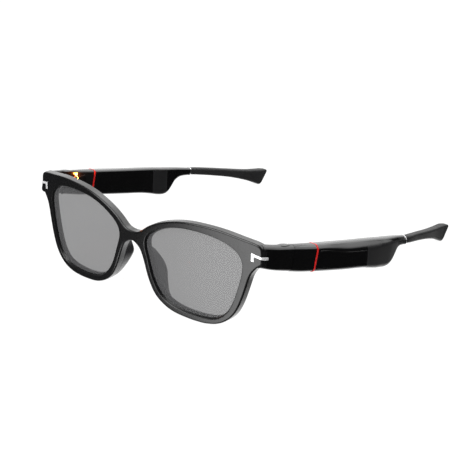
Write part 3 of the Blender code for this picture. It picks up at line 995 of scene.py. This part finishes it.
# ---- the temples -----------------------------------------------------------------------
@dataclass
class Temple:
    """One arm: stub, seal ring, electronics module and tip; the hinge stays as the frame made it.

    Sections give the place along the arm, then its inner side, outer side, bottom and top.
    """

    shop: Workshop
    side: Side
    stub: tuple[Section, ...] = (
        (0.12, 2.1, 6.4, -6.8, 6.0), (7.0, 2.2, 7.3, -7.3, 5.9), (14.88, 2.3, 8.2, -7.45, 5.8),
    )
    stub_room: tuple[Section, ...] = (
        (2.2, 3.2, 5.5, -4.0, 4.5), (8.0, 3.3, 6.3, -5.2, 4.5), (15.5, 3.4, 6.9, -5.4, 4.4),
    )
    module: tuple[Section, ...] = (
        (16.12, 2.3, 8.3, -7.5, 5.8), (28.0, 2.5, 8.8, -7.8, 5.8), (42.0, 2.8, 9.3, -8.0, 5.8),
        (55.0, 2.9, 9.5, -8.1, 5.9), (64.0, 2.9, 9.4, -8.7, 5.9), (72.0, 2.8, 9.0, -9.3, 5.8),
        (78.0, 2.7, 8.6, -9.1, 5.8), (81.3, 2.7, 8.2, -7.6, 5.8), (83.5, 2.7, 7.9, -4.6, 5.8),
        (85.4, 2.7, 7.6, -1.5, 5.8), (88.0, 2.7, 7.4, 0.7, 5.7), (92.9, 2.7, 7.2, 1.35, 5.5),
        (93.05, 2.6, 7.3, 1.25, 5.6), (93.35, 2.57, 7.33, 1.22, 5.63), (93.7, 2.65, 7.25, 1.3, 5.55),
    )
    module_room: tuple[Section, ...] = (
        (15.0, 3.2, 7.2, -4.0, 4.0), (18.5, 3.2, 7.3, -5.2, 4.4), (28.0, 3.2, 7.2, -6.2, 4.6),
        (30.0, 3.7, 6.9, -6.4, 4.6), (58.0, 4.1, 7.2, -6.8, 4.7), (66.0, 4.1, 7.8, -7.5, 4.7),
        (75.0, 4.0, 7.3, -7.9, 4.6), (78.5, 3.9, 6.8, -6.0, 4.5),
    )
    tip: tuple[Section, ...] = (
        (93.9, 2.9, 7.0, 1.6, 5.3), (99.5, 2.0, 6.4, 1.6, 5.5), (111.0, -0.3, 4.0, 1.4, 5.6),
        (124.0, -3.1, 1.4, 0.8, 5.5), (136.0, -6.0, -1.3, -0.7, 5.6), (145.0, -7.8, -2.8, -2.7, 6.2),
    )
    tip_end: tuple[Section, ...] = (
        (145.9, -7.85, -2.85, -2.6, 6.3), (146.8, -7.8, -2.9, -1.9, 6.35), (150.1, -7.5, -3.3, 3.9, 6.2),
        (150.6, -7.2, -3.6, 4.7, 5.8),
    )
    plug_half: tuple[float, float, float, float] = (4.2, 6.1, -2.6, 2.6)
    split: float = 5.7
    seam: float = 0.05
    lead: float = 4.5
    corner: float = 1.5
    light_hole: tuple[Point3, Point3] = ((1.0, 0.82, 3.32), (4.5, 2.38, 4.88))
    pin_hole: Point3 = (2.4, 5.1, -2.1)
    pin_hole_radius: float = 0.3
    bead: tuple[Point2, ...] = (
        (14.92, -0.05), (14.98, 0.06), (15.15, 0.13), (15.5, 0.15), (15.85, 0.13), (16.02, 0.06),
        (16.08, -0.05),
    )
    panel_start: float = 17.6
    panel_end: float = 55.4
    panel_top: float = 4.65
    panel_bottom: float = -5.7
    panel_proud: float = 0.04
    panel_depth: float = 0.8
    panel_gap: float = 0.06
    grille_well: tuple[Point3, Point3] = ((6.55, 64.25, -12), (7.75, 71.75, -6))
    grille_size: Point3 = (1.0, 7.3, 0.3)
    grille_place: Point3 = (7.15, 68.0, -8.75)
    key_well: tuple[Point3, Point3] = ((6.4, 43.2, -12), (8.0, 50.8, -6))
    shell_lines: tuple[Point2, ...] = ((56.2, -0.20),)
    cover_lines: tuple[Point2, ...] = ((62.6, -0.2), (74.2, -0.2))
    core_radius: float = 0.8
    core_bore: float = 0.95
    tip_shrink: Point2 = (-0.28, -0.1)
    # Where the steel collar starts; its bright metal paints the highlight at the module's end.
    collar_start: float = 92.95
    facet_start: float = 20.0
    facet_end: float = 82.0

    @property
    def word(self) -> str:
        """The side's name."""
        return self.side.word

    def place(self) -> Matrix:
        """From the drawing frame to the object's frame."""
        return self.shop.temple_matrix(self.side)

    def piece(self, name: str, shape: Shape) -> Piece:
        """An object of a shape in the arm's frame, named for its side."""
        return self.shop.make_object(f"{self.word}_{name}", shape, self.place())

    def cut(self, item: Piece, *tools: Shape) -> None:
        """Cut shapes in the arm's frame out of a piece."""
        self.shop.combine(item, [(tool, Join.TAKE) for tool in tools], self.place())

    def dress(self, item: Piece, body: str, finish: Finish, node: str, sharp: float = 32.0) -> None:
        """Finish a piece that stands for one node, on one of the side's bodies."""
        self.shop.finish(item, f"{self.word}_{body}", [finish], [f"{self.word}_{node}"], sharp)

    def facet(self, along: float) -> tuple[float, float]:
        """Height and width of the slanting facet between the top and the outer side.

        Args:
            along: the place on the arm.

        Returns:
            How far the facet reaches down the side and in over the top.
        """
        rise = smooth_step((along - self.facet_start) / 22) * smooth_step((self.facet_end - along) / 22)
        return 1.7 + 1.7 * rise, 1.5 + 0.5 * rise

    def ring(self, section: Section, radius: float, grow: float = 0.0, faceted: bool = False) -> list[Vector]:
        """The outline of the arm at one place.

        Args:
            section: the place and its four sides.
            radius: how round the corners are.
            grow: how much larger than the section.
            faceted: True where the top outer corner is cut by the slanting facet.

        Returns:
            The outline's points.
        """
        along, inner, outer, bottom, top = section
        inner, outer, bottom, top = inner - grow, outer + grow, bottom - grow, top + grow
        down, across = self.facet(along) if faceted else self.facet(0.0)
        bulge = smooth_step((along - 66) / 12)
        corners = [
            (outer, top - down, radius), (outer - across, top, radius), (inner, top, radius),
            (inner, bottom, radius), (outer, bottom, radius * (1.45 + 0.9 * bulge)),
        ]
        return upright(rounded_polygon(corners, 5), along)

    def swept(self, sections: Sequence[Section], steps: int, faceted: bool = False) -> Shape:
        """A body through the arm's outlines, with the inner side ended early behind the bulge.

        Args:
            sections: the sections to follow.
            steps: how many outlines each stretch gets.
            faceted: True for the module's slanting facet.

        Returns:
            The body.
        """
        rings = []
        for section in smooth_sections(sections, steps):
            along, inner, outer = section[:3]
            ring = self.ring(section, self.corner, 0.0, faceted)
            cut = self.lead * smooth_step((along - 60) / 18) * smooth_step((92.5 - along) / 8)
            for point in ring:
                point.y -= cut * (outer - point.x) / (outer - inner)
            rings.append(ring)
        return mirrored_for(self.side, loft(rings))

    def straight(self, sections: Sequence[Section], radius: float) -> Shape:
        """A plain body through rounded rectangles, for rooms and plugs.

        Args:
            sections: the sections, with straight runs between them.
            radius: how round the corners are.

        Returns:
            The body.
        """
        rings = []
        for along, inner, outer, bottom, top in sections:
            corners = [
                (outer, top, radius), (inner, top, radius), (inner, bottom, radius), (outer, bottom, radius),
            ]
            rings.append(upright(rounded_polygon(corners, 4), along))
        return mirrored_for(self.side, loft(rings))

    def box(self, low: Point3, high: Point3, rounding: float = 0.0, segments: int = 3) -> Shape:
        """A rounded box in the arm's frame."""
        return mirrored_for(self.side, box_shape(low, high, rounding, segments))

    def far_half(self, keep_outer: bool) -> Shape:
        """The block that takes away one half of the arm at the joint between shell and cover.

        Args:
            keep_outer: True to take away the inner half.

        Returns:
            The block.
        """
        reach = 40.0
        if keep_outer:
            edge = self.split + self.seam / 2
            return self.box((edge - reach, -60, -reach), (edge, 160, reach))
        edge = self.split - self.seam / 2
        return self.box((edge, -60, -reach), (edge + reach, 160, reach))

    def half(self, name: str, body: Shape, room: Sequence[Section], keep_outer: bool) -> Piece:
        """Half of a hollow part.

        Args:
            name: the piece's name, without the side.
            body: the whole part, solid.
            room: the space inside it.
            keep_outer: True for the outer shell, False for the inner cover.

        Returns:
            The hollow half.
        """
        item = self.piece(name, body)
        self.cut(item, self.straight(room, 0.8), self.far_half(keep_outer))
        return item

    def plug_sections(self, start: float, end: float, grow: float) -> tuple[Section, Section]:
        """The contact plug's outline between two places, larger by a clearance.

        Args:
            start: the first place along the arm.
            end: the last one.
            grow: the clearance.

        Returns:
            The two sections.
        """
        inner, outer, bottom, top = self.plug_half
        sides = (inner - grow, outer + grow, bottom - grow, top + grow)
        return (start, *sides), (end, *sides)

    def build_stub(self) -> None:
        """The short hollow stub behind the hinge, in two halves."""
        shell = self.half("stub_outer", self.swept(self.stub, 8), self.stub_room, True)
        self.dress(shell, "stub", PIANO_BLACK, "stub_shell")
        cover = self.half("stub_inner", self.swept(self.stub, 8), self.stub_room, False)
        if self.side is Side.RIGHT:
            self.cut(cover, self.box(*self.light_hole, 0.3))
        self.cut(cover, mirrored_for(self.side, self.microphone_hole()))
        self.dress(cover, "stub", SOFT_BLACK, "stub_cover")

    def microphone_hole(self) -> Shape:
        """The pin hole in front of the microphone.

        Returns:
            The tool that cuts it, as drawn for the left side.
        """
        shape = bmesh.new()
        matrix = Matrix.Translation(Vector(self.pin_hole)) @ Matrix.Rotation(math.pi / 2, 4, "Y")
        radius = self.pin_hole_radius
        bmesh.ops.create_cone(
            shape, cap_ends=True, segments=20, radius1=radius, radius2=radius, depth=3.0, matrix=matrix,
        )
        return shape

    def build_ring(self) -> None:
        """The silicone ring that seals the module to the stub."""
        sides = section_at(self.module, self.module[0][0])
        rings = [self.ring((along, *sides), 1.6, grow) for along, grow in self.bead]
        item = self.piece("red_ring", mirrored_for(self.side, loft(rings)))
        self.cut(item, self.straight(self.plug_sections(12.0, 19.0, 0.1), 0.6))
        self.dress(item, "stub", RED_SILICONE, "seal_ring", 60)

    def build_module(self) -> None:
        """The electronics module: outer shell, inner cover, touch panel and grille."""
        shell = self.half("module_outer", self.swept(self.module, 7, True), self.module_room, True)
        self.cut(shell, self.panel_shape(self.panel_gap), self.box(*self.grille_well, 0.2))
        if self.side is Side.RIGHT:
            self.cut(shell, self.box(*self.key_well, 0.3))
        self.two_tone(shell, self.shell_lines, True)
        self.dress(shell, "temple", SATIN_BLACK, "module_shell")
        cover = self.half("module_inner", self.swept(self.module, 7, True), self.module_room, False)
        self.cut(cover, self.core_shape(self.core_bore, 74.0, 97.0))
        self.two_tone(cover, self.cover_lines, False)
        self.dress(cover, "temple", PIANO_BLACK, "module_cover")
        self.dress(self.piece("touch_plate", self.panel_shape(0.0)), "temple", PANEL_BLACK, "touch_panel")
        grille = self.piece("perforated_grille", self.grille_shape())
        self.dress(grille, "temple", MESH_STEEL, "speaker_grille")

    def two_tone(self, item: Piece, lines: Sequence[tuple[float, float]], outer: bool) -> None:
        """Make a half gloss with satin behind a slanting line, or between two, and a steel collar at the end
        whose bright metal also paints the highlight there.

        Args:
            item: the piece.
            lines: place and slant of each line, as it crosses the side.
            outer: True where the second finish goes all round, False for one side only.
        """
        for finish in (PIANO_BLACK, SATIN_BLACK, STEEL_COLLAR_HIGHLIGHT):
            item.data.materials.append(finish.material())
        back = self.place().inverted()
        turn = back.to_3x3().inverted()
        shape = bmesh.new()
        shape.from_mesh(item.data)
        for along, slant in lines:
            spot = self.place() @ Vector((0, along, 0)) * MM
            normal = turn @ Vector((0, 1, -slant))
            geometry = shape.verts[:] + shape.edges[:] + shape.faces[:]
            bmesh.ops.bisect_plane(shape, geom=geometry, dist=1e-8, plane_co=spot, plane_no=normal)
        for face in shape.faces:
            middle = back @ (face.calc_center_median() / MM)
            past = [middle.y > along + slant * middle.z for along, slant in lines]
            chosen = past[0] and (len(past) == 1 or not past[1])
            way = (back.to_3x3() @ face.normal).normalized()
            chosen = chosen and (way.z < 0.4 if outer else abs(way.x) > 0.75)
            # Faces past the collar's start get the bright steel: a steel collar that also paints the end
            # highlight.
            face.material_index = 2 if middle.y > self.collar_start else int(chosen)
        shape.to_mesh(item.data)
        shape.free()

    def panel_shape(self, grow: float) -> Shape:
        """The touch plate let into the outer side, flush with it.

        Args:
            grow: how much larger than the plate, for its recess, which also opens outwards.

        Returns:
            The body.
        """
        count = 18
        open_out = 3.0 if grow else 0.0
        rings = []
        for step in range(count + 1):
            along = self.panel_start + (self.panel_end - self.panel_start) * step / count
            outer = section_at(smooth_sections(self.module, 7), along)[1]
            stretch = -grow if step == 0 else grow if step == count else 0.0
            high = self.panel_top - self.facet(along)[0] + grow
            low = self.panel_bottom - grow
            near, far = outer + self.panel_proud + open_out, outer - self.panel_depth - grow
            corners = [(near, high, 0.12), (far, high, 0.12), (far, low, 0.12), (near, low, 0.12)]
            rings.append(upright(rounded_polygon(corners, 3), along + stretch))
        return mirrored_for(self.side, loft(rings))

    def grille_shape(self) -> Shape:
        """A flat plate over the speaker, as a grid of cells with a hole in each.

        Returns:
            The plate.
        """
        width, length, thickness = self.grille_size
        shape = bmesh.new()
        bmesh.ops.create_grid(shape, x_segments=3, y_segments=18, size=0.5)
        bmesh.ops.scale(shape, vec=Vector((width, length, 1.0)), verts=shape.verts)
        cells = list(shape.faces)
        bmesh.ops.inset_individual(shape, faces=cells, thickness=0.08, depth=0.0)
        bmesh.ops.delete(shape, geom=cells, context="FACES")
        raise_faces(shape, shape.faces, thickness)
        bmesh.ops.translate(shape, vec=Vector(self.grille_place), verts=shape.verts)
        return mirrored_for(self.side, shape)

    def core_line(self, along: float) -> Vector:
        """Where the wire core runs inside the tip.

        Args:
            along: the place on the arm.

        Returns:
            The middle of the wire there.
        """
        if along < self.tip[0][0]:
            return Vector((4.6, along, 3.5))
        inner, outer, bottom, top = section_at(self.tip, along)
        return Vector(((inner + outer) / 2, along, (bottom + top) / 2))

    def core_shape(self, radius: float, start: float, end: float) -> Shape:
        """A round bar along the tip's wire core.

        Args:
            radius: the bar's radius.
            start: its first place along the arm.
            end: its last one.

        Returns:
            The bar.
        """
        count = 24
        turns = [math.tau * spoke / 16 for spoke in range(16)]
        rings = []
        for step in range(count + 1):
            middle = self.core_line(start + (end - start) * step / count)
            ring = [Vector((radius * math.cos(turn), 0, radius * math.sin(turn))) for turn in turns]
            rings.append([middle + point for point in ring])
        return mirrored_for(self.side, loft(rings))

    def build_tip(self) -> None:
        """The rubber tip and the wire core inside it."""
        rings = []
        for index, section in enumerate(smooth_sections(self.tip, 8) + list(self.tip_end)):
            shrink = self.tip_shrink[index] if index < len(self.tip_shrink) else 0.0
            rings.append(self.tip_ring(section, shrink))
        item = self.piece("rubber_tip", mirrored_for(self.side, loft(rings)))
        self.cut(item, self.core_shape(self.core_bore, 92.0, 141.0))
        self.dress(item, "temple", GRIP_RUBBER, "temple_tip")
        core = self.piece("core_wire", self.core_shape(self.core_radius, 82.5, 140.0))
        self.dress(core, "temple", SCREW_STEEL, "tip_core")

    def tip_ring(self, section: Section, grow: float) -> list[Vector]:
        """The tip's outline at one place.

        Args:
            section: the place and its four sides.
            grow: how much larger than the section.

        Returns:
            The outline's points.
        """
        along, inner, outer, bottom, top = section
        corners = [
            (outer + grow, top + grow, 1.3), (inner - grow, top + grow, 1.5),
            (inner - grow, bottom - grow, 1.5), (outer + grow, bottom - grow, 1.3),
        ]
        return upright(rounded_polygon(corners, 5), along)

    def build(self) -> None:
        """Make and dress every piece of the arm."""
        self.build_stub()
        self.build_ring()
        self.build_module()
        self.build_tip()


@dataclass
class SideLight:
    """The lit window on the inner side of the right stub, and its glow."""

    arm: Temple
    low: Point3 = (2.0, 0.9, 3.4)
    high: Point3 = (3.2, 2.3, 4.8)
    rounding: float = 0.32
    lamp_place: Point3 = (0.9, 1.6, 4.3)
    lamp_colour: Point3 = (1.0, 0.22, 0.03)
    lamp_radius: float = 0.6
    glow_watts: float = 0.012

    def build(self) -> None:
        """Make the window and the small lamp that stands for its light on what is near."""
        arm = self.arm
        shape = arm.box(self.low, self.high, self.rounding, 4)
        item = arm.shop.make_object("amber_window", shape, arm.place())
        arm.shop.finish(item, "right_stub", [AMBER], ["status_light"], sharp=70)
        lamp = bpy.data.lights.new("amber_glow", "POINT")
        lamp.energy = self.glow_watts
        lamp.color = self.lamp_colour
        lamp.shadow_soft_size = self.lamp_radius * MM
        glow = bpy.data.objects.new("amber_glow", lamp)
        bpy.context.scene.collection.objects.link(glow)
        glow.visible_camera = False
        out, along, up = self.lamp_place
        glow.location = arm.place() @ Vector((out * arm.side.value, along, up)) * MM
        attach(glow, "right_stub")


@dataclass
class FunctionKey:
    """The rubber key under the right module."""

    arm: Temple
    low: Point3 = (6.5, 43.3, -8.3)
    high: Point3 = (7.9, 50.7, -7.0)
    rounding: float = 0.4

    def build(self) -> None:
        """Make the key, with its edges well rounded."""
        shape = self.arm.box(self.low, self.high, self.rounding, 4)
        item = self.arm.shop.make_object("rubber_key", shape, self.arm.place())
        self.arm.shop.finish(item, "button", [GRIP_RUBBER], ["function_button"], sharp=60)


def dress_hidden_pieces(frame: dict) -> None:
    """Give the pieces that stay as the frame made them their finishes.
    """
    finishes = {
        "front_leaf": HINGE_STEEL, "rear_leaf": HINGE_STEEL, "hinge_screw": SCREW_STEEL,
        "contact_plug": GOLD, "microphone": BOARD_GREEN, "light_board": BOARD_GREEN,
        "main_board": BOARD_GREEN, "socket": DARK_PLASTIC, "battery": CELL_FOIL, "speaker": DARK_PLASTIC,
    }
    for name, item in frame["nodes"].items():
        for ending, finish in finishes.items():
            if name.endswith(ending):
                item.data.materials.clear()
                item.data.materials.append(finish.material())
                LOG.info("%s: %s", name, finish.slot)


# ---- the stage ---------------------------------------------------------------------------
@dataclass
class Stage:
    """Floor, soft light and the camera."""

    azimuth: float = 40.53
    elevation: float = 21.49
    roll: float = 1.5
    distance: float = 0.75
    aim: tuple[float, float, float] = (0.01556, -0.03453, 0.02528)
    focal_length: float = 117.39
    floor_light: float = 0.98
    backdrop_light: float = 1.05
    dim_light: float = 0.03
    patches: tuple[Patch, ...] = (
        (130.0, 21.0, 42.0, 0.4, 2.0), (108.0, -50.0, 38.0, 0.5, 2.3), (-93.0, -20.0, 29.0, 0.45, 5.4),
        (56.0, 26.0, 26.0, 0.5, 3.0), (92.0, 46.0, 34.0, 0.45, 3.2), (-104.0, 52.0, 34.0, 0.4, 7.5),
    )

    def build_floor(self) -> None:
        """A large pale floor that the glossy surfaces don't mirror."""
        shape = bmesh.new()
        bmesh.ops.create_grid(shape, x_segments=1, y_segments=1, size=6.0)
        mesh = bpy.data.meshes.new("floor")
        shape.to_mesh(mesh)
        shape.free()
        floor = bpy.data.objects.new("floor", mesh)
        bpy.context.scene.collection.objects.link(floor)
        pale = bpy.data.materials.new("pale_floor")
        pale.use_nodes = True
        sockets = pale.node_tree.nodes["Principled BSDF"].inputs
        sockets["Base Color"].default_value = (0.08, 0.08, 0.08, 1.0)
        sockets["Roughness"].default_value = 0.9
        sockets["Specular IOR Level"].default_value = 0.0
        sockets["Emission Color"].default_value = (1.0, 1.0, 1.0, 1.0)
        sockets["Emission Strength"].default_value = self.floor_light
        mesh.materials.append(pale)
        floor.visible_glossy = False
        floor.visible_shadow = False

    def build_light(self) -> None:
        """A soft studio dome of a few bright patches, which the camera sees as plain white."""
        world = bpy.data.worlds.new("studio")
        bpy.context.scene.world = world
        world.use_nodes = True
        bench = NodeBench(world.node_tree)
        world.node_tree.nodes.clear()
        towards = bench.add("ShaderNodeTexCoord").outputs["Generated"]
        base = bench.add("ShaderNodeValue")
        base.outputs[0].default_value = self.dim_light
        total = base.outputs[0]
        for patch in self.patches:
            total = self.add_lobe(bench, towards, total, patch)
        dome = bench.add("ShaderNodeBackground")
        bench.join(total, dome.inputs["Strength"])
        plain = bench.add("ShaderNodeBackground", Color=(1.0, 1.0, 1.0, 1.0), Strength=self.backdrop_light)
        mix = bench.add("ShaderNodeMixShader")
        bench.join(bench.add("ShaderNodeLightPath").outputs["Is Camera Ray"], mix.inputs["Fac"])
        bench.join(dome.outputs["Background"], mix.inputs[1])
        bench.join(plain.outputs["Background"], mix.inputs[2])
        bench.join(mix.outputs["Shader"], bench.add("ShaderNodeOutputWorld").inputs["Surface"])

    def add_lobe(self, bench: NodeBench, towards: Socket, total: Socket, patch: Patch) -> Socket:
        """Add one soft bright patch to the dome.

        Args:
            bench: the world's nodes.
            towards: the direction looked in.
            total: the light gathered so far.
            patch: the patch.

        Returns:
            The new total.
        """
        azimuth, pitch, width, core, strength = patch
        turn, rise = math.radians(azimuth), math.radians(pitch)
        aim = bench.add("ShaderNodeVectorMath")
        aim.operation = "DOT_PRODUCT"
        aim.inputs[1].default_value = (
            math.cos(turn) * math.cos(rise), math.sin(turn) * math.cos(rise), math.sin(rise),
        )
        bench.join(towards, aim.inputs[0])
        fade = bench.add(
            "ShaderNodeMapRange", From_Min=math.cos(math.radians(width)),
            From_Max=math.cos(math.radians(width * core)), To_Min=0.0, To_Max=strength,
        )
        fade.interpolation_type = "SMOOTHSTEP"
        bench.join(aim.outputs["Value"], fade.inputs["Value"])
        more = bench.add("ShaderNodeMath")
        more.operation = "ADD"
        bench.join(total, more.inputs[0])
        bench.join(fade.outputs["Result"], more.inputs[1])
        return more.outputs[0]

    def build_camera(self) -> None:
        """A long lens from the wearer's front left, a little above."""
        turn, rise = math.radians(self.azimuth), math.radians(self.elevation)
        away = Vector((math.sin(turn) * math.cos(rise), -math.cos(turn) * math.cos(rise), math.sin(rise)))
        lens = bpy.data.cameras.new("camera")
        lens.lens = self.focal_length
        lens.sensor_width = 36.0
        lens.clip_start = 0.01
        lens.dof.use_dof = False
        camera = bpy.data.objects.new("camera", lens)
        bpy.context.scene.collection.objects.link(camera)
        facing = away.to_track_quat("Z", "Y").to_matrix().to_4x4()
        tilt = Matrix.Rotation(math.radians(self.roll), 4, "Z")
        camera.matrix_world = Matrix.Translation(Vector(self.aim) + away * self.distance) @ facing @ tilt
        bpy.context.scene.camera = camera

    def build(self) -> None:
        """Set the stage."""
        bpy.context.scene.view_settings.view_transform = "Standard"
        self.build_floor()
        self.build_light()
        self.build_camera()


def main() -> None:
    """Load the frame and build every sub-assembly around it."""
    logging.basicConfig(level=logging.INFO, format="%(message)s")
    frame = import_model()
    Stage().build()
    shop = Workshop.from_frame(frame)
    Front(shop).build()
    arms = {side: Temple(shop, side) for side in Side}
    for arm in arms.values():
        arm.build()
    SideLight(arms[Side.RIGHT]).build()
    FunctionKey(arms[Side.RIGHT]).build()
    dress_hidden_pieces(frame)


if __name__ == "__main__":
    main()
